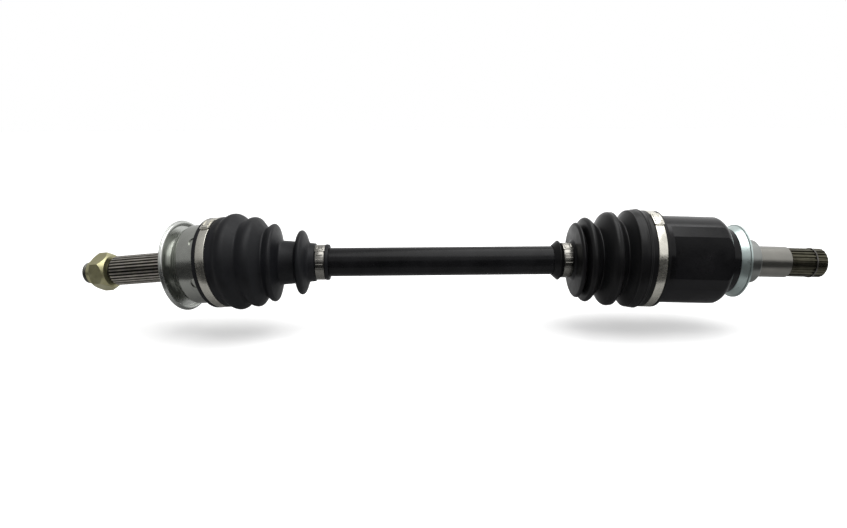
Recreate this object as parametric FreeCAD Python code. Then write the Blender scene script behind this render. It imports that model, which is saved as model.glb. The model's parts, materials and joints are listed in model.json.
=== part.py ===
import FreeCAD, Part

import math
import os

# CV axle (front wheel drive half shaft), in millimetres.
# Frame: the origin is on the bar's axis, +X runs along the bar to the gearbox joint,
# -X to the wheel joint, +Z is up. Azimuths are measured about +X from -Y towards +Z.

V = FreeCAD.Vector
ORIGIN = V(0, 0, 0)
AXIS = V(1, 0, 0)
RUNNING = 0.05          # radial clearance of a running fit
SOFT_GAP = 0.3          # room between rubber and a piece that it moves against

# ---- driving dimensions ----
OUTER_PIVOT = -195.0    # centre of the wheel-side ball joint on the bar's axis
INNER_PIVOT = 230.0     # centre of the gearbox-side tripod on the bar's axis
OUTER_SWING = -12.6     # rest bend of the wheel joint about +Z, degrees
OUTER_DROOP = -6.9      # rest bend of the wheel joint about +Y, degrees
INNER_DROOP = 2.0       # rest bend of the gearbox joint about +Y, degrees

BAR_R = 13.2
BAR_NECK_R = 11.5
BAR_END_R = 12.0

BELL_R = 36.2
BELL_MOUTH = 17.0
BELL_REAR = -13.0
BELL_NECK_R = 27.7
SEAT_FACE = -34.0       # face that meets the wheel bearing
LAND_END = -38.0        # plain land between that face and the spline
BALL_R = 7.94
BALL_CIRCLE_R = 24.5
TRACK_GAP = 1.2
DENT_R = 5.0            # forging dent over each ball track
DENT_PLACE = 2.4
CAGE_IN_R = 20.2
CAGE_OUT_R = 25.0
CAGE_HALF = 11.5
RACE_R = 19.8
BELL_TRACK_AZIMUTH = -15.5

OUTER_SPLINE_R = 13.9
OUTER_SPLINE_TEETH = 28
THREAD_R = 10.0
THREAD_PITCH = 1.5
NUT_ACROSS_FLATS = 32.0
NUT_BASE = -104.0
NUT_HEX = 18.5
NUT_COLLAR = 4.5
STUB_END = -133.0

HOUSING_R = 40.8
HOUSING_MOUTH = -32.0   # the gearbox joint's places are measured from INNER_PIVOT
HOUSING_FLOOR = 38.0
FLAT_DISTANCE = 36.0
FLAT_START = -11.0
FLAT_AZIMUTH = 15.0
TRACK_CIRCLE_R = 26.0
ROLLER_R = 16.0
ROLLER_HALF = 5.5
ROLLER_GAP = 1.6
TRUNNION_R = 10.5
NEEDLE_R = 1.25
NEEDLES = 26
JOURNAL_R = 14.5
INNER_SPLINE_R = 13.5
INNER_SPLINE_TEETH = 23
JOURNAL_START = 78.5
JOURNAL_END = 109.5
INNER_STUB_END = 144.3


# ---- helpers ----
def direction(azimuth):
    """Unit vector across the axle at an azimuth."""
    angle = math.radians(azimuth)
    return V(0, -math.cos(angle), math.sin(angle))


def outline(items):
    """Closed face in the XY plane from (x, r) corners. (mid_x, mid_r, x, r) is an arc to x, r."""
    points = [V(i[-2], i[-1], 0) for i in items]
    edges = []
    for n, item in enumerate(items):
        start = points[n - 1]
        if len(item) == 4:
            edges.append(Part.Arc(start, V(item[0], item[1], 0), points[n]).toShape())
        else:
            edges.append(Part.makeLine(start, points[n]))
    return Part.Face(Part.Wire(edges))


def turned(items):
    """Solid turned about the X axis from an outline."""
    return outline(items).revolve(ORIGIN, AXIS, 360)


def tube(x0, x1, r_in, r_out):
    return turned([(x0, r_in), (x1, r_in), (x1, r_out), (x0, r_out)])


def rod(x0, x1, r):
    return Part.makeCylinder(r, x1 - x0, V(x0, 0, 0), AXIS)


def about_x(shape, azimuth):
    """Turn a shape made at azimuth 0 (towards -Y) to another azimuth."""
    out = shape.copy()
    out.rotate(ORIGIN, AXIS, -azimuth)
    return out


def export(shape, node):
    shape.exportStep("parts/" + node + ".step")


# ---- rest pose of the two joints ----
def outer_rotation():
    half = FreeCAD.Rotation(V(0, 1, 0), OUTER_DROOP / 2)
    return half * FreeCAD.Rotation(V(0, 0, 1), OUTER_SWING) * half


def cage_rotation():
    half = FreeCAD.Rotation(V(0, 1, 0), OUTER_DROOP / 2)
    return half * FreeCAD.Rotation(V(0, 0, 1), OUTER_SWING / 2)


def inner_rotation():
    return FreeCAD.Rotation(V(0, 1, 0), INNER_DROOP)


def placed(shape, pivot, rotation=None):
    """Move a shape from a joint's own axes to its rest place on the axle."""
    out = shape.copy()
    out.Placement = FreeCAD.Placement(V(pivot, 0, 0), rotation or FreeCAD.Rotation())
    return out


# ---- splines ----
def spline_teeth(x0, x1, r_out, teeth, depth=1.15):
    """Toothed bar with straight flanks and chamfered ends."""
    step = 2 * math.pi / teeth
    shares = ((-0.36, r_out - depth), (-0.17, r_out), (0.17, r_out), (0.36, r_out - depth))
    points = []
    for tooth in range(teeth):
        for share, r in shares:
            angle = (tooth + share) * step
            points.append(V(x0, r * math.cos(angle), r * math.sin(angle)))
    section = Part.Face(Part.makePolygon(points + points[:1]))
    limit = turned([(x0, 0), (x1, 0), (x1, r_out - depth), (x1 - depth, r_out + 0.1),
                    (x0 + depth, r_out + 0.1), (x0, r_out - depth)])
    return section.extrude(V(x1 - x0, 0, 0)).common(limit)


# ---- bar and what is fixed to it ----
def drive_bar():
    """Solid bar: full size between the boots, necked inside them, with plain journals at its ends."""
    outer, inner = OUTER_PIVOT, INNER_PIVOT
    return turned([
        (outer - 14.5, 0), (outer - 14.5, BAR_END_R - 1), (outer - 13.5, BAR_END_R),
        (outer + 13, BAR_END_R), (outer + 14, BAR_NECK_R), (outer + 40, BAR_NECK_R),
        (outer + 50, BAR_R), (inner - 84, BAR_R), (inner - 74, BAR_NECK_R),
        (inner - 14, BAR_NECK_R), (inner - 13, BAR_END_R), (inner + 14.5, BAR_END_R),
        (inner + 15.5, BAR_END_R - 1), (inner + 15.5, 0),
    ]).cut(tube(outer - 13.6, outer - 12.2, BAR_END_R - 1.2, BAR_END_R + 1)).cut(
        tube(inner + 12.2, inner + 13.6, BAR_END_R - 1.2, BAR_END_R + 1))


def track_channel(reach):
    """Ball channel at azimuth 0: a round section swept about the joint's centre."""
    side = AXIS.cross(direction(0))
    edge = Part.makeCircle(BALL_R + TRACK_GAP, direction(0) * BALL_CIRCLE_R, AXIS)
    face = Part.Face(Part.Wire([edge]))
    face.rotate(ORIGIN, side, -reach)
    return face.revolve(ORIGIN, side, 2 * reach)


def ball_azimuths():
    return [BELL_TRACK_AZIMUTH + 60 * n for n in range(6)]


def inner_race():
    body = Part.makeSphere(RACE_R).common(rod(-CAGE_HALF, CAGE_HALF, RACE_R + 1))
    body = body.cut(rod(-20, 20, BAR_END_R + RUNNING))
    channel = track_channel(58)
    for azimuth in ball_azimuths():
        body = body.cut(about_x(channel, azimuth))
    return body


def split_ring(x0, x1, r_in, r_out, azimuth, gap=16):
    """Snap ring with a gap, gap degrees wide."""
    ring = outline([(x0, r_in), (x1, r_in), (x1, r_out), (x0, r_out)])
    ring = ring.revolve(ORIGIN, AXIS, 360 - gap)
    ring.rotate(ORIGIN, AXIS, 180 + gap / 2 - azimuth)
    return ring


# ---- wheel joint ----
def ball_cage():
    body = Part.makeSphere(CAGE_OUT_R).common(rod(-CAGE_HALF, CAGE_HALF, CAGE_OUT_R + 1))
    body = body.cut(Part.makeSphere(CAGE_IN_R))
    half = BALL_R + 0.06
    width = BALL_R + 1.0
    for azimuth in ball_azimuths():
        window = Part.makeBox(2 * half, 20, 2 * width, V(-half, -35, -width))
        body = body.cut(about_x(window, azimuth))
    return body


def steel_ball(azimuth):
    return Part.makeSphere(BALL_R, direction(azimuth) * BALL_CIRCLE_R)


def thread_rings(x0, x1, r):
    """Visible end of a thread: V grooves one pitch apart, with a chamfered end at x0."""
    count = int((x1 - x0 - 2) / THREAD_PITCH)
    items = [(x1, 0), (x1, r)]
    for n in range(count):
        x = x1 - n * THREAD_PITCH
        items += [(x - 0.25 * THREAD_PITCH, r), (x - 0.6 * THREAD_PITCH, r - 0.85),
                  (x - THREAD_PITCH, r)]
    return turned(items + [(x0 + 1.6, r), (x0, r - 1.8), (x0, 0)])


def outer_bell():
    """Bell, neck, splined stub and thread in one forging."""
    shell = turned([
        (SEAT_FACE, 0), (SEAT_FACE, BELL_NECK_R - 2), (SEAT_FACE + 1, BELL_NECK_R - 1),
        (-28.2, BELL_NECK_R - 1), (-28.2, BELL_NECK_R), (-23.5, BELL_NECK_R),
        (-20.5, 32.2, BELL_REAR - 1.6, 35.2), (BELL_REAR, BELL_R),
        (BELL_MOUTH - 1, BELL_R), (BELL_MOUTH, BELL_R - 1), (BELL_MOUTH, 0),
    ])
    mouth = turned([(9, 0), (9, 23.2), (BELL_MOUTH + 1, 32.8), (BELL_MOUTH + 1, 0)])
    # The turned shapes' seam is moved between two tracks, so that no channel is cut across it.
    between_tracks = BELL_TRACK_AZIMUTH + 30
    shell = about_x(shell, between_tracks).cut(Part.makeSphere(CAGE_OUT_R + 0.3))
    shell = shell.cut(about_x(mouth, between_tracks))
    channel = track_channel(41)
    dent = Part.makeCylinder(DENT_R, 10, V(DENT_PLACE, 1.1 - BELL_R, 0), V(0, -1, 0))
    for azimuth in ball_azimuths():
        shell = shell.cut(about_x(channel, azimuth))
        shell = shell.cut(about_x(dent, azimuth))
    relief = rod(NUT_BASE + 3, SEAT_FACE + 1, OUTER_SPLINE_R - 1.3)
    land = rod(LAND_END, SEAT_FACE + 1, OUTER_SPLINE_R + 0.1)
    teeth = spline_teeth(NUT_BASE + 4, LAND_END - 1, OUTER_SPLINE_R, OUTER_SPLINE_TEETH)
    thread = rod(STUB_END + 12, NUT_BASE + 4, THREAD_R - 0.3)
    end = thread_rings(STUB_END, STUB_END + 12, THREAD_R)
    return shell.fuse([relief, land, teeth, thread, end]).removeSplitter()


def dust_shield():
    """Pressed steel disc on the bell's neck, with a rounded rim that faces the bell."""
    return turned([
        (-27.9, BELL_NECK_R + RUNNING), (-26.3, BELL_NECK_R + RUNNING), (-26.3, 36.6),
        (-25.7, 37.1, -25.2, 37.7), (-23.8, 39.6, -25.4, 41.2),
        (-26.6, 41.5, -27.0, 40.9), (-26.6, 39.6, -27.5, 38.2), (-27.9, 37.4),
    ])


def axle_nut():
    """Hexagon nut with a washer face and a thin collar for staking."""
    corner_r = NUT_ACROSS_FLATS / math.sqrt(3)
    first = 36.0
    corners = []
    for n in range(7):
        point = direction(first + 60 * n) * corner_r
        corners.append(V(NUT_BASE - NUT_HEX, point.y, point.z))
    hexagon = Part.Face(Part.makePolygon(corners)).extrude(V(NUT_HEX, 0, 0))
    flat_r = NUT_ACROSS_FLATS / 2
    limit = turned([
        (NUT_BASE - NUT_HEX, 0), (NUT_BASE - NUT_HEX, flat_r - 3.4),
        (NUT_BASE - NUT_HEX + 5.5, corner_r), (NUT_BASE - 5.0, corner_r),
        (NUT_BASE, flat_r - 1.0), (NUT_BASE, 0),
    ])
    collar = turned([
        (NUT_BASE - NUT_HEX - NUT_COLLAR, 0), (NUT_BASE - NUT_HEX - NUT_COLLAR, 11.0),
        (NUT_BASE - NUT_HEX - NUT_COLLAR + 0.5, 11.5), (NUT_BASE - NUT_HEX - 0.8, 11.7),
        (NUT_BASE - NUT_HEX, 12.6), (NUT_BASE - NUT_HEX + 1, 12.6), (NUT_BASE - NUT_HEX + 1, 0),
    ])
    bore = rod(NUT_BASE - NUT_HEX - NUT_COLLAR - 1, NUT_BASE + 1, THREAD_R + RUNNING)
    return hexagon.common(limit).fuse(collar).cut(bore)


# ---- boots: walls between rings that tilt one after another from one body to the other ----
def ring_wire(place, r):
    circle = Part.Circle(ORIGIN, AXIS, r).toShape()
    circle.Placement = place
    return Part.Wire([circle])


def boot_wall(rings, place_at):
    """Closed rubber wall. Each ring is (distance, outer radius, inner radius)."""
    places = [place_at(distance) for distance, _, _ in rings]
    outer = [ring_wire(p, ring[1]) for p, ring in zip(places, rings)]
    inner = [ring_wire(p, ring[2]) for p, ring in zip(places, rings)]
    return Part.makeLoft(outer, True, True).cut(Part.makeLoft(inner, True, True))


def outer_boot_place(distance, first=20.0, last=60.0):
    share = min(max((distance - first) / (last - first), 0), 1)
    turn = outer_rotation().slerp(FreeCAD.Rotation(), share)
    return FreeCAD.Placement(V(OUTER_PIVOT, 0, 0) + turn.multVec(V(distance, 0, 0)), turn)


def inner_boot_place(distance, first=-88.0, last=-24.0):
    share = min(max((distance - first) / (last - first), 0), 1)
    turn = FreeCAD.Rotation().slerp(inner_rotation(), share)
    return FreeCAD.Placement(V(INNER_PIVOT, 0, 0) + turn.multVec(V(distance, 0, 0)), turn)


OUTER_CUFF_IN = BELL_R + SOFT_GAP
BAR_CUFF_IN = BAR_R + SOFT_GAP
OUTER_BOOT_LARGE = [
    (5.2, 41.2, OUTER_CUFF_IN), (8.0, 41.2, OUTER_CUFF_IN), (8.4, 40.4, OUTER_CUFF_IN),
    (17.0, 40.4, OUTER_CUFF_IN), (17.6, 41.0, OUTER_CUFF_IN), (21.5, 40.8, 38.4),
    (27.8, 44.2, 42.2), (36.0, 37.6, 35.6), (43.6, 41.2, 39.2), (52.4, 31.8, 29.8),
]
OUTER_BOOT_SMALL = [
    (52.7, 31.8, 29.8), (58.6, 36.2, 34.2), (64.4, 20.4, 18.4), (78.0, 19.4, 17.4),
    (83.2, 29.7, 27.4), (88.8, 20.0, 17.8), (95.4, 17.4, BAR_CUFF_IN),
    (96.2, 15.6, BAR_CUFF_IN), (104.9, 15.6, BAR_CUFF_IN), (105.6, 16.6, BAR_CUFF_IN),
    (109.6, 16.2, BAR_CUFF_IN),
]
HOUSING_CUFF_IN = HOUSING_R + SOFT_GAP
INNER_BOOT_SMALL = [
    (-110.4, 14.4, BAR_CUFF_IN), (-105.3, 18.6, BAR_CUFF_IN), (-102.4, 15.6, BAR_CUFF_IN),
    (-93.4, 15.6, BAR_CUFF_IN), (-92.8, 17.4, BAR_CUFF_IN), (-90.2, 35.0, 33.0),
    (-85.4, 29.0, 27.0), (-80.2, 39.4, 37.4), (-70.6, 30.6, 28.6),
]
INNER_BOOT_LARGE = [
    (-70.3, 30.6, 28.6), (-60.0, 43.9, 41.9), (-49.6, 35.0, 33.0), (-38.4, 45.9, 43.9),
    (-31.4, 45.9, 43.6), (-28.4, 44.8, HOUSING_CUFF_IN), (-27.4, 44.1, HOUSING_CUFF_IN),
    (-19.6, 44.1, HOUSING_CUFF_IN), (-19.2, 44.9, HOUSING_CUFF_IN),
    (-16.8, 44.7, HOUSING_CUFF_IN),
]


# ---- band clamps ----
def band_clamp(x0, width, r_in, thickness, azimuth, span):
    """Strap closed by a folded lock: two more strap layers over part of the turn."""
    strap = tube(x0, x0 + width, r_in, r_in + thickness)
    lock = outline([(x0 + 0.3, r_in + 0.2), (x0 + width - 0.3, r_in + 0.2),
                    (x0 + width - 0.3, r_in + 2.4 * thickness),
                    (x0 + 0.3, r_in + 2.4 * thickness)]).revolve(ORIGIN, AXIS, span)
    lock.rotate(ORIGIN, AXIS, 180 - azimuth - span / 2)
    return strap.fuse(lock)


# ---- gearbox joint ----
def lobe_azimuths():
    return [FLAT_AZIMUTH + 60 + 120 * n for n in range(3)]


def tulip_cavity():
    """Three-lobed hollow that the rollers run in."""
    bore = rod(HOUSING_MOUTH - 1, HOUSING_FLOOR, 22.0)
    length = HOUSING_FLOOR - HOUSING_MOUTH + 1
    track = Part.makeCylinder(ROLLER_R + ROLLER_GAP, length,
                              V(HOUSING_MOUTH - 1, -TRACK_CIRCLE_R, 0), AXIS)
    track = track.common(Part.makeBox(length + 2, 36, 60, V(HOUSING_MOUTH - 2, -35.8, -30)))
    cavity = bore.fuse([about_x(track, azimuth) for azimuth in lobe_azimuths()])
    mouth = turned([(HOUSING_MOUTH - 1, 0), (HOUSING_MOUTH - 1, 30.5), (-18, 22.0), (-18, 0)])
    return cavity.fuse(mouth)


def tulip_housing():
    """Round cup with three outside flats, neck, shoulder, seal journal and splined stub."""
    cup = turned([
        (HOUSING_MOUTH, 0), (HOUSING_MOUTH, HOUSING_R - 1), (HOUSING_MOUTH + 1, HOUSING_R),
        (36.5, HOUSING_R), (42.6, 38.0, 44.6, 33.0), (45.4, 30.4), (53.2, 29.6),
        (53.2, 28.4), (60.4, 28.4), (61.9, 26.9), (61.9, 20.2),
        (JOURNAL_START - 2.2, 20.2), (JOURNAL_START - 0.6, 19.6, JOURNAL_START, 18.0),
        (JOURNAL_START, JOURNAL_R), (JOURNAL_END, JOURNAL_R),
        (JOURNAL_END + 1.2, INNER_SPLINE_R - 1.3), (JOURNAL_END + 1.2, 0),
    ])
    for n in range(3):
        azimuth = FLAT_AZIMUTH + 120 * n
        flat = Part.makeBox(80, 20, 60, V(FLAT_START, -FLAT_DISTANCE - 20, -30))
        facet = Part.makeBox(80, 20, 60, V(FLAT_START, 0.5 - HOUSING_R - 20, -30))
        cup = cup.cut(about_x(flat, azimuth))
        cup = cup.cut(about_x(facet, azimuth - 35)).cut(about_x(facet, azimuth + 35))
    cup = cup.cut(tulip_cavity())
    groove = tube(-28.6, -26.6, 20, 35.1)
    teeth = spline_teeth(JOURNAL_END + 0.5, INNER_STUB_END, INNER_SPLINE_R, INNER_SPLINE_TEETH)
    core = rod(JOURNAL_END, INNER_STUB_END - 1.5, INNER_SPLINE_R - 1.3)
    ring_groove = tube(132.7, 134.5, INNER_SPLINE_R - 1.9, INNER_SPLINE_R + 1)
    return cup.cut(groove).fuse([teeth, core]).cut(ring_groove)


def dust_ring():
    """Zinc plated deflector ring: a flared cone pressed on the housing's neck."""
    return turned([
        (53.4, 28.5), (53.4, 29.9), (59.6, 33.0), (60.0, 33.9), (61.4, 33.9),
        (61.8, 33.4), (61.8, 31.6), (60.6, 31.0), (56.0, 28.5),
    ])


def tripod_spider():
    """Hub and three trunnions, with a groove in each trunnion for its ring."""
    hub = Part.makeSphere(19.4).common(rod(-12, 12, 20))
    for azimuth in lobe_azimuths():
        pin = Part.makeCylinder(TRUNNION_R, 33.0, ORIGIN, direction(azimuth))
        groove = Part.makeCylinder(TRUNNION_R + 1, 1.2, direction(azimuth) * 31.6,
                                   direction(azimuth))
        groove = groove.cut(Part.makeCylinder(TRUNNION_R - 0.8, 1.2,
                                              direction(azimuth) * 31.6, direction(azimuth)))
        hub = hub.fuse(pin).cut(groove)
    return hub.cut(rod(-30, 30, BAR_END_R + RUNNING))


def tripod_roller(azimuth):
    """Ring with a spherical outside, turning on needles."""
    out = direction(azimuth)
    ball = Part.makeSphere(ROLLER_R, out * TRACK_CIRCLE_R)
    low = TRACK_CIRCLE_R - ROLLER_HALF
    slab = Part.makeCylinder(ROLLER_R + 2, 2 * ROLLER_HALF, out * low, out)
    bore_r = TRUNNION_R + 2 * NEEDLE_R + 2 * RUNNING
    bore = Part.makeCylinder(bore_r, 2 * ROLLER_HALF + 4, out * (low - 2), out)
    return ball.common(slab).cut(bore)


def needle_set(azimuth):
    """Full complement of needles round one trunnion."""
    out = direction(azimuth)
    side = AXIS.cross(out)
    orbit = TRUNNION_R + NEEDLE_R + RUNNING
    needles = []
    for n in range(NEEDLES):
        angle = 2 * math.pi * n / NEEDLES
        base = out * (TRACK_CIRCLE_R - 5.1) + AXIS * (orbit * math.cos(angle))
        base = base + side * (orbit * math.sin(angle))
        needles.append(Part.makeCylinder(NEEDLE_R, 10.2, base, out))
    return Part.makeCompound(needles)


def roller_retainer(azimuth):
    """Snap ring in the trunnion's groove, outside the roller."""
    out = direction(azimuth)
    ring = Part.makeCylinder(TRUNNION_R + 2.0, 1.0, out * 31.7, out)
    ring = ring.cut(Part.makeCylinder(TRUNNION_R - 0.7, 1.0, out * 31.7, out))
    gap = Part.makeBox(4, 4, 8, V(TRUNNION_R - 2, -34, -4))
    return ring.cut(about_x(gap, azimuth))


# ---- build and write every node ----
def bar_pieces():
    nodes = {
        "drive_bar": drive_bar(),
        "outer_inner_race": placed(inner_race(), OUTER_PIVOT),
        "outer_race_circlip": placed(split_ring(-13.5, -12.3, 11.0, 13.4, 100), OUTER_PIVOT),
        "outer_boot_small_clamp": placed(band_clamp(96.6, 8.0, 15.6, 0.9, 62, 26), OUTER_PIVOT),
        "inner_boot_small_clamp": placed(band_clamp(-102.0, 8.3, 15.6, 0.9, 62, 26), INNER_PIVOT),
        "tripod_spider": placed(tripod_spider(), INNER_PIVOT),
        "spider_circlip": placed(split_ring(12.3, 13.5, 11.0, 13.4, 80), INNER_PIVOT),
    }
    for n, azimuth in enumerate(lobe_azimuths(), 1):
        nodes["roller_retainer_%d" % n] = placed(roller_retainer(azimuth), INNER_PIVOT)
        nodes["tripod_roller_%d" % n] = placed(tripod_roller(azimuth), INNER_PIVOT)
        nodes["needle_rollers_%d" % n] = placed(needle_set(azimuth), INNER_PIVOT)
    return nodes


def wheel_joint_pieces():
    turn = outer_rotation()
    nodes = {
        "outer_bell": placed(outer_bell(), OUTER_PIVOT, turn),
        "outer_dust_shield": placed(dust_shield(), OUTER_PIVOT, turn),
        "axle_nut": placed(axle_nut(), OUTER_PIVOT, turn),
        "outer_boot_large_clamp": placed(band_clamp(8.7, 8.0, 40.4, 1.0, 69, 20), OUTER_PIVOT, turn),
        "outer_boot_large_end": boot_wall(OUTER_BOOT_LARGE, outer_boot_place),
        "outer_boot_small_end": boot_wall(OUTER_BOOT_SMALL, outer_boot_place),
        "outer_ball_cage": placed(ball_cage(), OUTER_PIVOT, cage_rotation()),
    }
    for n, azimuth in enumerate(ball_azimuths(), 1):
        nodes["steel_ball_%d" % n] = placed(steel_ball(azimuth), OUTER_PIVOT, cage_rotation())
    return nodes


def gearbox_joint_pieces():
    turn = inner_rotation()
    return {
        "inner_tulip_housing": placed(tulip_housing(), INNER_PIVOT, turn),
        "inner_dust_ring": placed(dust_ring(), INNER_PIVOT, turn),
        "inner_stub_circlip": placed(split_ring(133.0, 134.2, 11.8, 14.0, -100), INNER_PIVOT, turn),
        "tulip_stop_ring": placed(split_ring(-28.2, -27.0, 31.8, 34.9, 135), INNER_PIVOT, turn),
        "inner_boot_large_clamp": placed(band_clamp(-27.3, 7.6, 44.1, 1.1, 65, 22), INNER_PIVOT, turn),
        "inner_boot_small_end": boot_wall(INNER_BOOT_SMALL, inner_boot_place),
        "inner_boot_large_end": boot_wall(INNER_BOOT_LARGE, inner_boot_place),
    }


def main():
    os.makedirs("parts", exist_ok=True)
    nodes = {**bar_pieces(), **wheel_joint_pieces(), **gearbox_joint_pieces()}
    for node, shape in nodes.items():
        print(node, len(shape.Solids), shape.isValid(), round(shape.Volume / 1000, 2), "cm3")
        export(shape, node)


main()
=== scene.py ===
import bpy
import bmesh
import json
import math
from mathutils import Matrix, Quaternion, Vector


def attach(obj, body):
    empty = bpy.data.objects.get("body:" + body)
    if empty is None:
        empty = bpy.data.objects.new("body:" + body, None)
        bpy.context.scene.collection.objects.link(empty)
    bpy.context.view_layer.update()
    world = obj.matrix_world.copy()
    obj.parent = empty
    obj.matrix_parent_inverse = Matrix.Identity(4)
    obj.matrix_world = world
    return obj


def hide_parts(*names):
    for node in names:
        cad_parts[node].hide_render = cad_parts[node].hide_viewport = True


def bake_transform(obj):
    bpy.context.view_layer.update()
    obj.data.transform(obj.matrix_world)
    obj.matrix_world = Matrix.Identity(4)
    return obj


# %% [markdown]
# # CV axle
# A car's drive shaft with a joint at each end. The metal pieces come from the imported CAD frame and
# keep their shape; this script gives them their finishes, models the rubber boots and the folded
# strap clamps, and sets up the camera and the light. The frame is in metres, so every size below
# is turned from millimetres by MM.

# %% Load the frame
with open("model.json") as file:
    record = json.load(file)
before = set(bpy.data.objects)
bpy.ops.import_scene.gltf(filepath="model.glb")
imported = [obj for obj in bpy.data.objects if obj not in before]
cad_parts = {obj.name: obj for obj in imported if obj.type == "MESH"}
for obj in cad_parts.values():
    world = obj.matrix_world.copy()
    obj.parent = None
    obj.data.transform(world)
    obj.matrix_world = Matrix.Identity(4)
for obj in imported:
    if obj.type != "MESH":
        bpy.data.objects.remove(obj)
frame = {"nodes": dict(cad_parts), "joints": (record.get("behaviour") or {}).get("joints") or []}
nodes = frame["nodes"]
joints = {joint["name"]: joint for joint in frame["joints"]}
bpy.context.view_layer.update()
MM = 0.001

# %% [markdown]
# ## Camera
# The axle is seen from its front, a little from above, with a wide lens quite close to it, which
# is why the two ends show their inner sides. One matrix turns it to the side, tilts it down,
# pushes it back from its target and rolls it. Aiming it with a Track To constraint would also
# work, but the small roll is easier to state in a matrix.

# %% Camera
SENSOR_WIDTH = 36             # millimetres, as is the lens
FOCAL_SHARE = 620.0 / 847     # focal length as a share of the sensor's width
CLOSEST_SEEN = 0.01
CAMERA_DISTANCE = 576.6 * MM
CAMERA_HEIGHT_ANGLE = math.radians(14)
CAMERA_SIDE_ANGLE = math.radians(-1.34)
CAMERA_ROLL = math.radians(-0.19)
CAMERA_TARGET = Vector((0, 0, -2.6 * MM))


def make_camera():
    data = bpy.data.cameras.new("camera")
    data.sensor_width = SENSOR_WIDTH
    data.lens = SENSOR_WIDTH * FOCAL_SHARE
    data.clip_start = CLOSEST_SEEN
    camera = bpy.data.objects.new("camera", data)
    bpy.context.scene.collection.objects.link(camera)
    turn = Matrix.Rotation(CAMERA_SIDE_ANGLE, 4, "Z")
    tilt = Matrix.Rotation(math.radians(90) - CAMERA_HEIGHT_ANGLE, 4, "X")
    roll = Matrix.Rotation(CAMERA_ROLL, 4, "Z")
    back = Matrix.Translation((0, 0, CAMERA_DISTANCE))
    camera.matrix_world = Matrix.Translation(CAMERA_TARGET) @ turn @ tilt @ back @ roll
    bpy.context.scene.camera = camera
    return camera


camera = make_camera()
print("camera: lens", round(camera.data.lens, 2), "mm at", [round(v, 3) for v in camera.location])

# %% [markdown]
# ## Where the joints are
# Both joints are bent a little at rest. Pieces near a joint are modelled straight, on the joint's
# own axis, and then turned about its centre. A quaternion holds that turn, because half of it, or
# any other share, is one slerp away, which is how the boots bend fold by fold.

# %% Joint centres and rest turns
WHEEL_PIVOT = Vector(joints["outer_steer_bar_side"]["pos_m"])
GEAR_PIVOT = Vector(joints["inner_swing"]["pos_m"])
STRAIGHT = Quaternion()
WHEEL_STEER = -12.6           # rest bend in plan, degrees
WHEEL_HALF_LIFT = -3.45       # half the rest bend in the vertical plane, on each side of the steer
GEAR_DROOP = 2.0


def turn_about(axis, degrees):
    return Quaternion(axis, math.radians(degrees))


HALF_LIFT_TURN = turn_about((0, 1, 0), WHEEL_HALF_LIFT)
WHEEL_TURN = HALF_LIFT_TURN @ turn_about((0, 0, 1), WHEEL_STEER) @ HALF_LIFT_TURN
GEAR_TURN = turn_about((0, 1, 0), GEAR_DROOP)
print("wheel joint at", list(WHEEL_PIVOT), "gearbox joint at", list(GEAR_PIVOT))


def local_matrix(pivot, turn):
    """Takes a joint's own axes, with x along its shaft, to the frame."""
    return Matrix.Translation(pivot) @ turn.to_matrix().to_4x4()


WHEEL_AXES = local_matrix(WHEEL_PIVOT, WHEEL_TURN)
GEAR_AXES = local_matrix(GEAR_PIVOT, GEAR_TURN)
WHEEL_BAR_AXES = local_matrix(WHEEL_PIVOT, STRAIGHT)
GEAR_BAR_AXES = local_matrix(GEAR_PIVOT, STRAIGHT)

# %% [markdown]
# ## Helpers for materials
# Every finish is a Principled BSDF with small changes in colour, roughness and bump from noise on
# Object coordinates. Turned and ground steel has fine marks that run round the shaft, so their
# noise is read at (distance along the shaft, distance from it), which a Mapping node and a length
# node work out. The same distance along the shaft tells one finish from the next where a single
# forging has several, such as a painted cup with a bare ground stub: a mask goes from 0 to 1
# there. Splitting the mesh would also work, but the forging is one piece and stays one piece.


# %% Material helpers
RING_SCALE = 2600             # lathe marks: noise scale, depth in millimetres
RING_DEPTH = 0.012


def scaled(tone, factor):
    """The same colour, darker or lighter."""
    return tuple(factor * t for t in tone)


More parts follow.
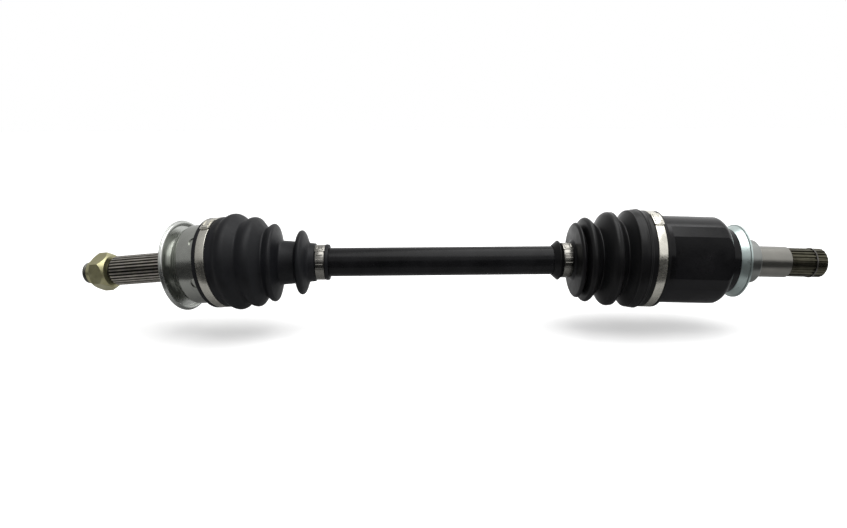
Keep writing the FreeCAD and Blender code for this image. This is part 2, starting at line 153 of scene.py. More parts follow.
class Finish:
    """A material under construction: its node tree, shader and object coordinates."""

    def __init__(self, name, metallic, **sockets):
        self.material = bpy.data.materials.new(name)
        self.material.use_nodes = True
        self.tree = self.material.node_tree
        self.shader = self.tree.nodes["Principled BSDF"]
        self.shader.inputs["Metallic"].default_value = metallic
        for socket, value in sockets.items():
            self.shader.inputs[socket.replace("_", " ")].default_value = value
        self.place = self.node("ShaderNodeTexCoord").outputs["Object"]

    def node(self, kind, **settings):
        made = self.tree.nodes.new(kind)
        for key, value in settings.items():
            setattr(made, key, value)
        return made

    def link(self, source, target):
        self.tree.links.new(source, target)

    def drive(self, source, socket):
        self.link(source, self.shader.inputs[socket])

    def shaft_place(self, axes):
        """Coordinates (along the shaft, distance from it, 0)."""
        location, turn, _ = axes.inverted().decompose()
        mapping = self.node("ShaderNodeMapping", vector_type="POINT")
        mapping.inputs["Location"].default_value = location
        mapping.inputs["Rotation"].default_value = turn.to_euler()
        self.link(self.place, mapping.inputs["Vector"])
        split = self.node("ShaderNodeSeparateXYZ")
        self.link(mapping.outputs["Vector"], split.inputs[0])
        across = self.node("ShaderNodeCombineXYZ")
        self.link(split.outputs["Y"], across.inputs["Y"])
        self.link(split.outputs["Z"], across.inputs["Z"])
        length = self.node("ShaderNodeVectorMath", operation="LENGTH")
        self.link(across.outputs[0], length.inputs[0])
        joined = self.node("ShaderNodeCombineXYZ")
        self.link(split.outputs["X"], joined.inputs["X"])
        self.link(length.outputs["Value"], joined.inputs["Y"])
        return joined.outputs[0]

    def noise(self, scale, detail, place=None):
        made = self.node("ShaderNodeTexNoise", noise_dimensions="3D")
        made.inputs["Scale"].default_value = scale
        made.inputs["Detail"].default_value = detail
        made.inputs["Roughness"].default_value = 0.6
        self.link(place or self.place, made.inputs["Vector"])
        return made.outputs["Fac"]

    def spread(self, value, low, high, start, end):
        """Number that goes from low to high while the value goes from start to end."""
        made = self.node("ShaderNodeMapRange")
        limits = {"From Min": start, "From Max": end, "To Min": low, "To Max": high}
        for socket, number in limits.items():
            made.inputs[socket].default_value = number
        self.link(value, made.inputs["Value"])
        return made.outputs["Result"]

    def beyond(self, place, part, limit_mm, soft_mm=0.2):
        """Mask: 0 below a distance along the shaft (X) or from it (Y), 1 above it."""
        split = self.node("ShaderNodeSeparateXYZ")
        self.link(place, split.inputs[0])
        start, end = (limit_mm - soft_mm) * MM, (limit_mm + soft_mm) * MM
        return self.spread(split.outputs[part], 0, 1, start, end)

    def mix(self, factor, low, high):
        """Colours or numbers, given as values or as sockets, mixed by a mask."""
        is_colour = isinstance(low, tuple) or getattr(low, "type", "") == "RGBA"
        made = self.node("ShaderNodeMix", data_type="RGBA" if is_colour else "FLOAT")
        sockets = [s for s in made.inputs if s.enabled]
        self.link(factor, sockets[0])
        for socket, value in zip(sockets[1:], (low, high)):
            if isinstance(value, bpy.types.NodeSocket):
                self.link(value, socket)
            else:
                socket.default_value = (*value, 1) if is_colour else value
        return next(s for s in made.outputs if s.enabled)

    def varied(self, scale, low, high, detail=4):
        """Colour or number that drifts between two values over the surface."""
        return self.mix(self.spread(self.noise(scale, detail), 0, 1, 0.3, 0.7), low, high)

    def bump(self, height, distance_mm, strength):
        made = self.node("ShaderNodeBump")
        made.inputs["Strength"].default_value = strength
        made.inputs["Distance"].default_value = distance_mm * MM
        self.link(height, made.inputs["Height"])
        self.drive(made.outputs["Normal"], "Normal")

    def lathe_rings(self, place, strength=0.35):
        """Fine marks that run round the shaft, read at (along the shaft, distance from it)."""
        self.bump(self.noise(RING_SCALE, 3, place), RING_DEPTH, strength)


# %% [markdown]
# ## Finishes
# The axle has black paint on its bar and cup, bare ground steel on the bell and journals, brown
# hardened steel on the splines, yellow zinc on the nut, blue-white zinc on the dust ring and black
# rubber on the boots. The large clamps are of bright strip and the small ones of duller strip.
# Each finish is one function that returns a material. The scale of a pattern makes it finer as it
# grows, and its detail makes it rougher.


# %% Black paint
PAINT_TONE = (0.0018, 0.0018, 0.0021), (0.0052, 0.0052, 0.0058)
PAINT_WAVES = 35


def black_paint():
    """Dipped black paint: glossy, with slow waves in it and a few dull spots."""
    finish = Finish("black_paint", 0.0, Specular_IOR_Level=0.12)
    finish.drive(finish.varied(PAINT_WAVES, *PAINT_TONE), "Base Color")
    finish.drive(finish.varied(90, 0.20, 0.32, 5), "Roughness")
    finish.bump(finish.noise(220, 2), 0.05, 0.3)
    return finish.material


# %% Ground steel
def ground_steel(name, axes, tone, rough):
    """Steel turned and ground on a lathe: fine rings round the shaft and a thin film of oil."""
    finish = Finish(name, 1.0)
    finish.drive(finish.varied(60, tone, scaled(tone, 0.82), 5), "Base Color")
    finish.drive(finish.varied(45, *rough, 5), "Roughness")
    finish.lathe_rings(finish.shaft_place(axes))
    return finish.material


# %% Dark hardened steel
def dark_steel(name, low, high):
    """Hardened steel with a brown-grey film, darker in patches where oil stays."""
    finish = Finish(name, 0.9)
    finish.drive(finish.varied(140, low, high, 6), "Base Color")
    finish.drive(finish.varied(300, 0.30, 0.48), "Roughness")
    finish.bump(finish.noise(1500, 3), 0.02, 0.5)
    return finish.material


# %% Bell with its splined stub
BELL_TONE = (0.42, 0.43, 0.40)
# The spline ridge tone is the brown steel colour brightened as a painted highlight; the valley
# colour is painted shade.
WHEEL_SPLINE_TONE_WITH_HIGHLIGHT = (0.56, 0.53, 0.48), (0.34, 0.32, 0.285)
VALLEY_PAINTED_SHADE = (0.035, 0.032, 0.028)
THREAD_TONE = (0.20, 0.20, 0.185), (0.09, 0.09, 0.085)
BELL_ROUGH = (0.17, 0.27)
STUB_ROUGH = (0.28, 0.42)
THREAD_END = -102.0           # distances from the joint's centre, in millimetres
BELL_START = -35.2
RIDGE_RADIUS = 13.35


def bell_finish():
    """Ground steel on the bell, brown splines with a painted highlight on their ridges and painted
    shade in the valleys between them, and a grey thread.
    """
    finish = Finish("bell_steel", 1.0)
    place = finish.shaft_place(WHEEL_AXES)
    on_spline = finish.beyond(place, "X", THREAD_END, 1.0)
    on_bell = finish.beyond(place, "X", BELL_START, 0.4)
    ground = finish.varied(60, BELL_TONE, scaled(BELL_TONE, 0.8), 5)
    # Painted shade below the ridge radius, in the spline valleys; the ridges keep the brown tone
    # with its painted highlight.
    on_ridge = finish.beyond(place, "Y", RIDGE_RADIUS, 0.3)
    brown = finish.mix(on_ridge, VALLEY_PAINTED_SHADE, finish.varied(150, *WHEEL_SPLINE_TONE_WITH_HIGHLIGHT, 6))
    thread = finish.varied(150, *THREAD_TONE)
    stub = finish.mix(on_spline, thread, brown)
    finish.drive(finish.mix(on_bell, stub, ground), "Base Color")
    stub_rough = finish.varied(280, *STUB_ROUGH)
    finish.drive(finish.mix(on_bell, stub_rough, finish.varied(45, *BELL_ROUGH)), "Roughness")
    finish.lathe_rings(place)
    return finish.material


# %% Cup with its journal and splined stub
JOURNAL_TONE = (0.24, 0.235, 0.215)
SHOULDER_TONE = (0.25, 0.26, 0.25)
GEAR_SPLINE_TONE = (0.105, 0.100, 0.072), (0.05, 0.047, 0.035)
CUP_PAINT_ROUGH = (0.16, 0.28)
JOURNAL_ROUGH = (0.26, 0.36)
CUP_PAINT_END = 61.7          # distances from the joint's centre, in millimetres
SHOULDER_END = 79.0
GEAR_SPLINE_START = 109.8


def cup_finish():
    """Black paint on the cup, bare steel on its journal and dark steel on its splines."""
    finish = Finish("cup_paint_and_steel", 0.0, Specular_IOR_Level=0.16)
    place = finish.shaft_place(GEAR_AXES)
    bare = finish.beyond(place, "X", CUP_PAINT_END)
    on_journal = finish.beyond(place, "X", SHOULDER_END, 0.6)
    on_spline = finish.beyond(place, "X", GEAR_SPLINE_START, 0.4)
    journal = finish.varied(60, JOURNAL_TONE, scaled(JOURNAL_TONE, 0.85), 5)
    shoulder = finish.varied(60, SHOULDER_TONE, scaled(SHOULDER_TONE, 0.85), 5)
    spline = finish.varied(150, *GEAR_SPLINE_TONE, 6)
    steel = finish.mix(on_spline, finish.mix(on_journal, shoulder, journal), spline)
    finish.drive(finish.mix(bare, finish.varied(PAINT_WAVES, *PAINT_TONE), steel), "Base Color")
    finish.drive(bare, "Metallic")
    dull = finish.varied(90, *CUP_PAINT_ROUGH, 5)
    finish.drive(finish.mix(bare, dull, finish.varied(45, *JOURNAL_ROUGH)), "Roughness")
    finish.lathe_rings(place, 0.3)
    return finish.material


# %% Zinc plating
def zinc(name, low, high, rough):
    """Zinc plating: soft metallic colour that drifts over the surface, with a fine grain."""
    finish = Finish(name, 0.92)
    finish.drive(finish.varied(70, low, high), "Base Color")
    finish.drive(finish.varied(220, *rough), "Roughness")
    finish.bump(finish.noise(1800, 2), 0.01, 0.5)
    return finish.material


# %% Clamp strip
def strap_steel(name, tone):
    """Rolled strip: smooth with faint scuffs."""
    finish = Finish(name, 1.0)
    finish.drive(finish.varied(90, tone, scaled(tone, 0.78), 3), "Base Color")
    finish.drive(finish.varied(240, 0.18, 0.32, 5), "Roughness")
    finish.bump(finish.noise(500, 3), 0.015, 0.3)
    return finish.material


# %% Boot rubber
def boot_rubber(name, tone, rough):
    """Moulded rubber: nearly black, with a soft shine and a very fine matt grain."""
    finish = Finish(name, 0.0, Specular_IOR_Level=0.16)
    finish.drive(finish.varied(45, tone, scaled(tone, 1.7), 6), "Base Color")
    finish.drive(finish.varied(120, *rough, 5), "Roughness")
    finish.bump(finish.noise(2400, 3), 0.02, 0.5)
    return finish.material


# %% Give each CAD node its finish
def numbered(stem, count):
    return ["%s_%d" % (stem, n) for n in range(1, count + 1)]


def give(material, *names):
    """Put a finish on CAD nodes."""
    for name in names:
        slots = nodes[name].data.materials
        slots.clear()
        slots.append(material)


BRIGHT_STRAP = strap_steel("bright_strap_steel", (0.70, 0.68, 0.61))
DULL_STRAP = strap_steel("dull_strap_steel", (0.25, 0.243, 0.222))
OUTER_RUBBER = boot_rubber("wheel_boot_rubber", (0.0036, 0.0038, 0.0046), (0.40, 0.52))
INNER_RUBBER = boot_rubber("gearbox_boot_rubber", (0.0024, 0.0024, 0.0026), (0.28, 0.40))
give(black_paint(), "drive_bar")
give(cup_finish(), "inner_tulip_housing")
give(bell_finish(), "outer_bell")
give(ground_steel("shield_steel", WHEEL_AXES, (0.54, 0.555, 0.53), (0.24, 0.34)),
     "outer_dust_shield")
give(zinc("nut_zinc", (0.46, 0.44, 0.27), (0.35, 0.33, 0.18), (0.28, 0.42)), "axle_nut")
give(zinc("ring_zinc", (0.46, 0.535, 0.52), (0.37, 0.435, 0.425), (0.26, 0.38)),
     "inner_dust_ring")
give(ground_steel("bearing_steel", WHEEL_AXES, (0.62, 0.62, 0.61), (0.08, 0.16)),
     "outer_inner_race", "outer_ball_cage", "tripod_spider", *numbered("steel_ball", 6),
     *numbered("tripod_roller", 3), *numbered("needle_rollers", 3))
give(dark_steel("spring_steel", (0.13, 0.125, 0.12), (0.06, 0.055, 0.05)),
     "outer_race_circlip", "spider_circlip", "inner_stub_circlip", "tulip_stop_ring",
     *numbered("roller_retainer", 3))
print("finishes:", sorted(m.name for m in bpy.data.materials))

# %% [markdown]
# ## Bellows boots
# A boot is a turned shape: an outline of its folds, spun round the shaft. Each corner of the
# outline has a place, a radius and how far back it is rounded, and a vertex bevel does the
# rounding before the spin. Each boot is spun in lengths. They meet on straight flanks between
# folds, where both lengths have the same slope and no seam shows.


# %% Spinning an outline
STEPS_ROUND = 112
ROUNDING_STEPS = 5
WELD_DISTANCE = 0.002 * MM


def outline_edges(bm, corners):
    """A closed outline in the XY plane, its corners rounded by vertex bevels."""
    made = [(bm.verts.new((x * MM, r * MM, 0)), cut) for x, r, cut in corners]
    bm.faces.new([vert for vert, _ in made])
    for size in sorted({cut for _, cut in made if cut}):
        rounded = [vert for vert, cut in made if cut == size]
        bmesh.ops.bevel(bm, geom=rounded, offset=size * MM, offset_type="OFFSET",
                        segments=ROUNDING_STEPS, profile=0.5, affect="VERTICES", material=-1)
    bmesh.ops.delete(bm, geom=list(bm.faces), context="FACES_ONLY")


def spun(corners, steps=STEPS_ROUND):
    """Closed solid spun round the X axis from an outline."""
    bm = bmesh.new()
    outline_edges(bm, corners)
    bmesh.ops.spin(bm, geom=list(bm.verts) + list(bm.edges), cent=(0, 0, 0), axis=(1, 0, 0),
                   angle=math.tau, steps=steps, use_merge=True)
    bmesh.ops.remove_doubles(bm, verts=list(bm.verts), dist=WELD_DISTANCE)
    bmesh.ops.recalc_face_normals(bm, faces=list(bm.faces))
    return bm


def finished(name, bm, material, sharp=40):
    """Mesh object from a bmesh, smooth except over edges sharper than the angle."""
    for face in bm.faces:
        face.smooth = True
    limit = math.radians(sharp)
    for edge in bm.edges:
        edge.smooth = edge.calc_face_angle(0) < limit
    mesh = bpy.data.meshes.new(name)
    bm.to_mesh(mesh)
    bm.free()
    mesh.materials.append(material)
    made = bpy.data.objects.new(name, mesh)
    bpy.context.scene.collection.objects.link(made)
    return made


# %% Boot lengths
OUTSIDE, INSIDE = 0, 1


def radius_at(corners, distance, side):
    """Radius of the wall, outside or inside, on the straight flank that crosses a distance."""
    for (x0, *a), (x1, *b) in zip(corners, corners[1:]):
        if x0 <= distance <= x1:
            share = (distance - x0) / (x1 - x0)
            return a[side] + share * (b[side] - a[side])
    raise ValueError(distance)


def length_outline(corners, start, end):
    """Outline of the wall between two distances: out along the outside, back along the inside."""
    between = [c for c in corners if start < c[0] < end]
    outside = [(x, r, cut) for x, r, _, cut in between]
    inside = [(x, r, cut) for x, _, r, cut in between]
    first, last = [[(place, radius_at(corners, place, side), 0) for side in (OUTSIDE, INSIDE)]
                   for place in (start, end)]
    return [first[0], *outside, *last, *reversed(inside), first[1]]


def boot_length(name, corners, start, end, place_at, material):
    """One length of a boot, spun straight and then bent to its rest shape."""
    bm = spun(length_outline(corners, start, end))
    for vert in bm.verts:
        vert.co = place_at(vert.co)
    return finished(name, bm, material)


def bend_between(pivot, first_turn, last_turn, first, last):
    """How a straight boot bends at rest: it turns about the joint's centre, more with distance."""
    def turn_at(distance):
        share = min(max((distance / MM - first) / (last - first), 0), 1)
        return first_turn.slerp(last_turn, share)

    def place_at(point):
        return pivot + turn_at(point.x) @ point
    return turn_at, place_at


def join_bodies(piece, bodies, pivot, turn_at, start, end):
    """Bakes the length's place into its mesh; the bodies are not used."""
    middle = turn_at(MM * (start + end) / 2) @ Vector((1, 0, 0))
    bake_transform(piece)


# %% [markdown]
# ### Wheel-side boot
# Three folds that get smaller towards the bar, a plain neck, one thin fin and a small cuff.
# Corners are (distance from the joint's centre, outside radius, inside radius, rounding) in
# millimetres. Seams are where one length ends and the next starts.

# %% Wheel-side boot
WHEEL_BOOT = [
    (5.2, 41.2, 36.6, 0.5), (8.1, 41.3, 36.6, 0.3), (8.5, 40.5, 36.6, 0),
    (16.9, 40.5, 36.6, 0), (17.5, 41.2, 37.0, 0.4), (22.0, 40.9, 38.6, 1.2),
    (26.0, 43.9, 41.6, 1.6), (29.6, 43.8, 41.6, 1.8), (36.0, 37.8, 35.6, 1.1),
    (41.8, 41.1, 38.8, 1.6), (45.6, 40.9, 38.6, 1.8), (52.4, 31.6, 29.6, 1.2),
    (56.8, 36.0, 33.8, 1.6), (60.2, 35.8, 33.4, 1.8), (64.4, 20.5, 18.3, 1.8),
    (78.0, 19.4, 17.2, 1.0), (80.0, 27.2, 25.0, 1.2), (82.0, 29.7, 27.3, 1.1),
    (84.6, 29.7, 27.3, 1.1), (86.4, 27.2, 25.0, 1.2), (88.8, 20.2, 18.0, 0.8),
    (90.4, 18.0, 15.6, 0.6), (95.6, 17.6, 13.5, 0.5), (96.3, 15.7, 13.5, 0),
    (104.8, 15.7, 13.5, 0), (105.4, 16.7, 13.5, 0.4), (108.2, 16.3, 13.5, 0.8),
]
WHEEL_SEAMS = (5.2, 24.0, 38.9, 54.6, 108.2)
WHEEL_BODIES = ("wheel_stub", "outer_boot_bell_half", "ball_cage", "outer_boot_bar_half",
                "bar_assembly")
WHEEL_ZONES = ((17.8, 23.4), (24.6, 38.3), (39.5, 54.0), (55.2, 62.0))
WHEEL_BEND = (18.0, 56.0)
WHEEL_REPLACED = ("outer_boot_large_end", "outer_boot_large_end", "outer_boot_small_end",
                  "outer_boot_small_end")


def make_boot(name, corners, seams, bodies, zones, replaced, pivot, bend, material):
    """A boot in lengths, each in place of a CAD boot end."""
    turn_at, place_at = bend
    for n, zone in enumerate(zones):
        piece = boot_length("%s_%d" % (name, n + 1), corners, seams[n], seams[n + 1], place_at,
                            material)
        join_bodies(piece, bodies[n:n + 2], pivot, turn_at, *zone)
        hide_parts(replaced[n])
        print(piece.name, len(piece.data.polygons), "faces")


make_boot("wheel_boot", WHEEL_BOOT, WHEEL_SEAMS, WHEEL_BODIES, WHEEL_ZONES, WHEEL_REPLACED,
          WHEEL_PIVOT, bend_between(WHEEL_PIVOT, WHEEL_TURN, STRAIGHT, *WHEEL_BEND), OUTER_RUBBER)

# %% [markdown]
# ### Gearbox-side boot
# A pointed lip and a small cuff, then four folds that grow towards the cup. The last two carry
# thin moulded ridges on their crests. Distances are again measured from the joint's centre, so
# they are negative here.

# %% Gearbox-side boot
GEAR_BOOT = [
    (-110.4, 14.2, 13.5, 0.5), (-105.3, 18.6, 13.5, 0.6), (-102.4, 15.7, 13.5, 0.3),
    (-93.9, 15.7, 13.5, 0), (-93.2, 17.0, 13.5, 0.3), (-91.4, 19.0, 15.0, 0.8),
    (-90.4, 33.4, 31.6, 1.0), (-88.6, 35.1, 33.0, 0.8), (-87.0, 34.6, 32.6, 0.8),
    (-84.8, 29.2, 27.4, 0.6), (-82.6, 38.2, 36.2, 1.0), (-80.0, 39.5, 37.3, 1.0),
    (-77.4, 38.0, 35.8, 1.2), (-70.6, 30.6, 28.6, 1.4), (-63.6, 42.3, 40.2, 1.6),
    (-60.4, 43.9, 41.6, 1.4), (-57.6, 43.0, 40.8, 0.8), (-57.2, 43.5, 40.7, 0.2),
    (-56.6, 43.1, 40.3, 0.3), (-56.2, 41.8, 39.8, 0.6), (-49.6, 35.0, 33.0, 1.2),
    (-43.4, 43.4, 41.2, 1.0), (-42.9, 44.6, 41.9, 0.3), (-42.2, 45.0, 42.3, 0.2),
    (-41.8, 44.7, 42.6, 0.3), (-37.6, 45.8, 43.4, 1.2), (-35.0, 45.7, 43.2, 0.4),
    (-34.6, 46.2, 43.0, 0.2), (-34.0, 46.0, 42.5, 0.2), (-33.6, 45.4, 42.0, 0.4),
    (-32.6, 45.3, 41.1, 0.4),
    (-31.6, 44.6, 41.1, 0.3), (-28.0, 44.9, 41.1, 0.3), (-27.6, 44.2, 41.1, 0),
    (-19.5, 44.2, 41.1, 0), (-19.1, 45.0, 41.1, 0.3), (-16.8, 44.7, 41.1, 0.8),
]
GEAR_SEAMS = (-110.4, -74.5, -52.9, -16.8)
GEAR_BODIES = ("bar_assembly", "inner_boot_bar_half", "inner_boot_cup_half", "gearbox_cup")
GEAR_ZONES = ((-91.2, -75.0), (-74.0, -53.4), (-52.4, -29.6))
GEAR_BEND = (-88.0, -30.0)
GEAR_REPLACED = ("inner_boot_small_end", "inner_boot_large_end", "inner_boot_large_end")
make_boot("gearbox_boot", GEAR_BOOT, GEAR_SEAMS, GEAR_BODIES, GEAR_ZONES, GEAR_REPLACED,
          GEAR_PIVOT, bend_between(GEAR_PIVOT, STRAIGHT, GEAR_TURN, *GEAR_BEND), INNER_RUBBER)

# %% [markdown]
# ## Strap clamps
# Each boot end is held by a steel strap pulled tight and locked: the strap's tail runs back over
# itself, passes through a buckle and is folded down. On a small strap the tail shows for a way
# beside the buckle and has three pressed ribs; on a large one it ends at the buckle. Everything on
# top of the strap is laid out flat, as it is before fitting, with u along the strap, x across it
# and h its height above the boot, and is then wrapped round the boot. A bend modifier would do the
# same, but a formula is exact. All sizes are in millimetres until the last step.


# %% Strap pieces
SOFT_EDGE = 0.12
SAME_HEIGHT = 1e-6
RIB_SIDES = 16
STRAP_STEPS = 144


def plate(bm, u, x, h, corner, cuts):
    """A flat plate between ranges of u, x and h, rounded, softened and cut so that it can bend."""
    middle = [(a + b) / 2 for a, b in (u, x, h)]
    size = [b - a for a, b in (u, x, h)]
    place = Matrix.Translation(middle) @ Matrix.Diagonal((*size, 1))
    verts = bmesh.ops.create_cube(bm, size=1, matrix=place)["verts"]
    upright = [e for e in set(sum((list(v.link_edges) for v in verts), []))
               if abs(e.verts[0].co.z - e.verts[1].co.z) > 0.5 * size[2]]
    made = bmesh.ops.bevel(bm, geom=upright, offset=corner, segments=3, profile=0.5, affect="EDGES",
                           material=-1)
    verts = list({v for v in verts if v.is_valid} | set(made["verts"]))
    faces = list({f for v in verts for f in v.link_faces})
    rim = [e for e in {e for f in faces for e in f.edges}
           if abs(e.verts[0].co.z - e.verts[1].co.z) < SAME_HEIGHT]
    made = bmesh.ops.bevel(bm, geom=rim, offset=SOFT_EDGE, segments=2, profile=0.5, affect="EDGES",
                           material=-1)
    verts = {v for v in verts if v.is_valid} | set(made["verts"])
    for n in range(1, cuts):
        faces = {f for v in verts for f in v.link_faces}
        geometry = list(verts) + list({e for f in faces for e in f.edges}) + list(faces)
        at = (u[0] + (u[1] - u[0]) * n / cuts, 0, 0)
        cut = bmesh.ops.bisect_plane(bm, geom=geometry, plane_co=at, plane_no=(1, 0, 0))
        verts |= {item for item in cut["geom"] if isinstance(item, bmesh.types.BMVert)}


def rib(bm, u, x, height, half_width):
    """A small round rib across the strap: a rod lying on it, stretched to its height."""
    place = (Matrix.Translation((u, (x[0] + x[1]) / 2, 0)) @ Matrix.Rotation(math.pi / 2, 4, "X")
             @ Matrix.Diagonal((1, height / half_width, 1, 1)))
    bmesh.ops.create_cone(bm, segments=RIB_SIDES, radius1=half_width, radius2=half_width,
                          depth=x[1] - x[0], cap_ends=True, matrix=place)


def wrapped(bm, radius, azimuth):
    """Lays flat pieces round the X axis: u becomes an angle and h a radius."""
    for vert in bm.verts:
        u, x, h = vert.co
        angle = math.radians(azimuth) + u / radius
        vert.co = Vector((x, -(radius + h) * math.cos(angle), (radius + h) * math.sin(angle))) * MM


def strap_ring(start, width, radius, thickness):
    """The strap itself, a thin ring with rounded edges."""
    end, top = start + width, radius + thickness
    corners = [(start, radius, 0.15), (start, top, 0.3), (end, top, 0.3), (end, radius, 0.15)]
    return spun(corners, STRAP_STEPS)


# %% A locked strap clamp
TAIL_INSET = 0.5
BUCKLE_OVERHANG = 0.5
FOLD_INSET = 0.9
EAR_INSET = 0.6
EAR_WIDTH = 1.7
CRIMP_FIRST = 0.22            # places of the pressed ribs, as shares of the tail's length
CRIMP_STEP = 0.27
CRIMP_HALF_WIDTH = 0.7


def lock_pieces(start, width, thickness, buckle, overlap, crimps):
    """Flat layout: tail over the strap, buckle across it, folded tail, two pressed ears, ribs."""
    bm = bmesh.new()
    end, middle = start + width, start + width / 2
    plate(bm, (-buckle / 2 - overlap, buckle / 2), (start + TAIL_INSET, end - TAIL_INSET),
          (thickness - 0.1, 1.9 * thickness), 0.8, cuts=24)
    plate(bm, (-buckle / 2, buckle / 2), (start - BUCKLE_OVERHANG, end + BUCKLE_OVERHANG),
          (0.2, 2.5 * thickness), 0.8, cuts=6)
    plate(bm, (-buckle / 2 + 1.0, buckle / 2 - 1.6), (start + FOLD_INSET, end - FOLD_INSET),
          (2.3 * thickness, 3.2 * thickness), 0.7, cuts=5)
    for side in (-1, 1):
        edge = middle + side * (width / 2 - EAR_INSET)
        ear = sorted((edge, edge - side * EAR_WIDTH))
        plate(bm, (-buckle / 4, buckle / 4), ear, (2.6 * thickness, 3.7 * thickness), 0.5, cuts=3)
    rib(bm, buckle / 2 - 0.2, (start + 0.2, end - 0.2), 2.7 * thickness, 0.75 * thickness)
    for n in range(crimps):
        place = -buckle / 2 - overlap * (CRIMP_FIRST + CRIMP_STEP * n)
        rib(bm, place, (start + TAIL_INSET + 0.4, end - TAIL_INSET - 0.4), 2.5 * thickness,
            CRIMP_HALF_WIDTH)
    return bm


def strap_clamp(name, body, node, axes, steel, start, width, radius, thickness, azimuth, buckle,
                overlap, crimps):
    """Strap and lock as one mesh, on a body and in place of a CAD clamp."""
    band = strap_ring(start, width, radius, thickness)
    lock = lock_pieces(start, width, thickness, buckle, overlap, crimps)
    wrapped(lock, radius, azimuth)
    lock_mesh = bpy.data.meshes.new("lock")
    lock.to_mesh(lock_mesh)
    lock.free()
    band.from_mesh(lock_mesh)
    bpy.data.meshes.remove(lock_mesh)
    bmesh.ops.recalc_face_normals(band, faces=list(band.faces))
    bmesh.ops.transform(band, matrix=axes, verts=list(band.verts))
    clamp = finished(name, band, steel, 30)
    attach(clamp, body)
    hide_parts(node)
    print(name, len(clamp.data.polygons), "faces")


SMALL = dict(radius=15.6, thickness=0.7, azimuth=62, buckle=7.5, overlap=15.0, crimps=3)
LARGE = dict(thickness=0.8, overlap=0.5, crimps=0)
strap_clamp("wheel_boot_small_strap", "bar_assembly", "outer_boot_small_clamp", WHEEL_BAR_AXES,
            DULL_STRAP, start=96.6, width=8.0, **SMALL)
strap_clamp("gearbox_boot_small_strap", "bar_assembly", "inner_boot_small_clamp", GEAR_BAR_AXES,
            DULL_STRAP, start=-102.0, width=8.2, **SMALL)
strap_clamp("wheel_boot_large_strap", "wheel_stub", "outer_boot_large_clamp", WHEEL_AXES,
            BRIGHT_STRAP, start=8.7, width=8.0, radius=40.4, azimuth=69, buckle=15.0, **LARGE)
strap_clamp("gearbox_boot_large_strap", "gearbox_cup", "inner_boot_large_clamp", GEAR_AXES,
            BRIGHT_STRAP, start=-27.4, width=7.7, radius=44.1, azimuth=65, buckle=16.0, **LARGE)

# %% [markdown]
# ## Floor and light
# A plain pale floor under the axle and an even, bright studio round it, a little dimmer on the
# left. A black flag in front gives the shiny metal a dark stripe, without which it looks flat, and a
# grey card below keeps its underside dark. Both are seen only by reflections: they neither show nor
# cast a shadow.

# %% Floor
FLOOR_Z = -68 * MM
FLOOR_HALF_SIZE = 6
FLOOR_TONE = 0.88
FLOOR_GLOW = 0.25


def make_floor():
    bm = bmesh.new()
    bmesh.ops.create_grid(bm, x_segments=1, y_segments=1, size=FLOOR_HALF_SIZE)
    bmesh.ops.translate(bm, verts=list(bm.verts), vec=(0, 0, FLOOR_Z))
    finish = Finish("floor_white", 0.0, Roughness=0.9)
    finish.shader.inputs["Base Color"].default_value = (FLOOR_TONE, FLOOR_TONE, FLOOR_TONE, 1)
    finish.shader.inputs["Emission Color"].default_value = (1, 1, 1, 1)
    finish.shader.inputs["Emission Strength"].default_value = FLOOR_GLOW
    floor = finished("floor", bm, finish.material)


make_floor()
print("floor at", FLOOR_Z, "m")

# %% Cards for the reflections
CARD_HALF_LENGTH = 1.2        # along the axle, in metres, as are the places below
CARD_Z = FLOOR_Z + 0.004
FLAG_NEAR = -0.10
FLAG_FAR = -0.26
FLAG_TOP = 0.095
CARD_FAR = 0.5
FLAG_TONE = 0.04
CARD_TONE = 0.35


def make_card(name, line, tone):
    """A long card bent along a line of (y, z) points, seen only by reflections."""
    bm = bmesh.new()
    points = [bm.verts.new((-CARD_HALF_LENGTH, y, z)) for y, z in line]
    edges = [bm.edges.new(pair) for pair in zip(points, points[1:])]
    made = bmesh.ops.extrude_edge_only(bm, edges=edges)["geom"]
    far_end = [v for v in made if isinstance(v, bmesh.types.BMVert)]
    bmesh.ops.translate(bm, verts=far_end, vec=(2 * CARD_HALF_LENGTH, 0, 0))
    finish = Finish(name, 0.0, Roughness=1.0, Specular_IOR_Level=0.0)
    finish.shader.inputs["Base Color"].default_value = (tone, tone, tone, 1)
    card = finished(name, bm, finish.material)
    card.visible_camera = False
    card.visible_diffuse = False
    card.visible_shadow = False
    card.visible_transmission = False


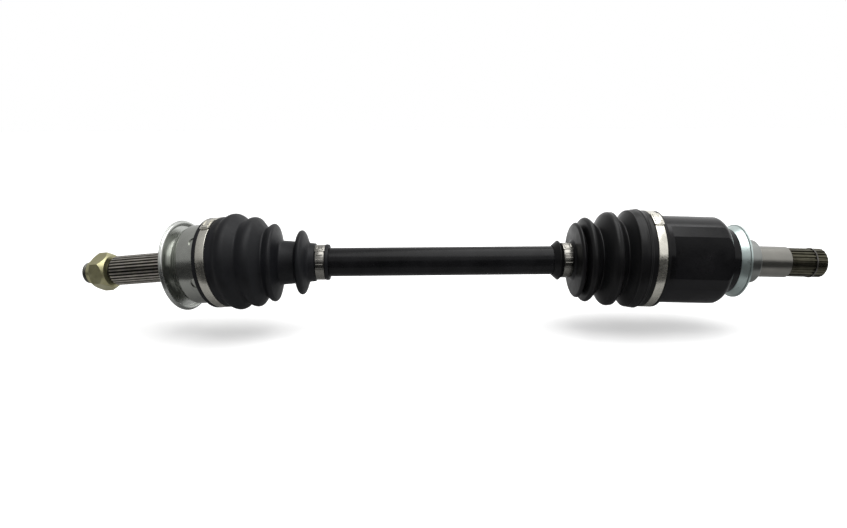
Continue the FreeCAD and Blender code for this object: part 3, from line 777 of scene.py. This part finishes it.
make_card("black_flag", ((FLAG_NEAR, CARD_Z), (FLAG_FAR, CARD_Z), (FLAG_FAR, FLAG_TOP)), FLAG_TONE)
make_card("grey_card", ((FLAG_NEAR, CARD_Z), (CARD_FAR, CARD_Z)), CARD_TONE)
print("flag from", FLAG_NEAR, "to", FLAG_FAR, "m in front, card", CARD_FAR, "m behind")


# %% World
DIM_SIDE = (-0.8, 0.42)       # (how far left or right one looks, strength of the light from there)
BRIGHT_SIDE = (0.35, 1.15)


def make_world():
    """White to the camera; as light, a room that is dimmer on the left."""
    world = bpy.data.worlds.new("studio")
    world.use_nodes = True
    tree = world.node_tree
    background = tree.nodes["Background"]
    direction = tree.nodes.new("ShaderNodeTexCoord")
    split = tree.nodes.new("ShaderNodeSeparateXYZ")
    tree.links.new(direction.outputs["Generated"], split.inputs[0])
    side = tree.nodes.new("ShaderNodeMapRange")
    for end, (across, strength) in (("Min", DIM_SIDE), ("Max", BRIGHT_SIDE)):
        side.inputs["From " + end].default_value = across
        side.inputs["To " + end].default_value = strength
    tree.links.new(split.outputs["X"], side.inputs["Value"])
    seen = tree.nodes.new("ShaderNodeLightPath")
    mix = tree.nodes.new("ShaderNodeMix")
    mix.inputs["B"].default_value = 1.0
    tree.links.new(seen.outputs["Is Camera Ray"], mix.inputs["Factor"])
    tree.links.new(side.outputs["Result"], mix.inputs["A"])
    tree.links.new(mix.outputs["Result"], background.inputs["Strength"])
    background.inputs["Color"].default_value = (1, 1, 1, 1)
    bpy.context.scene.world = world
    bpy.context.scene.view_settings.view_transform = "Standard"


make_world()


# %% Soft light
def soft_light(name, place, target, size, power):
    """A rectangular light that faces its target."""
    data = bpy.data.lights.new(name, "AREA")
    data.shape = "RECTANGLE"
    data.size, data.size_y = size
    data.energy = power
    light = bpy.data.objects.new(name, data)
    bpy.context.scene.collection.objects.link(light)
    light.location = place
    light.rotation_euler = (Vector(target) - Vector(place)).to_track_quat("-Z", "Y").to_euler()


soft_light("top_light", place=(0.25, -0.1, 1.2), target=(0, 0, 0), size=(1.6, 0.9), power=14)
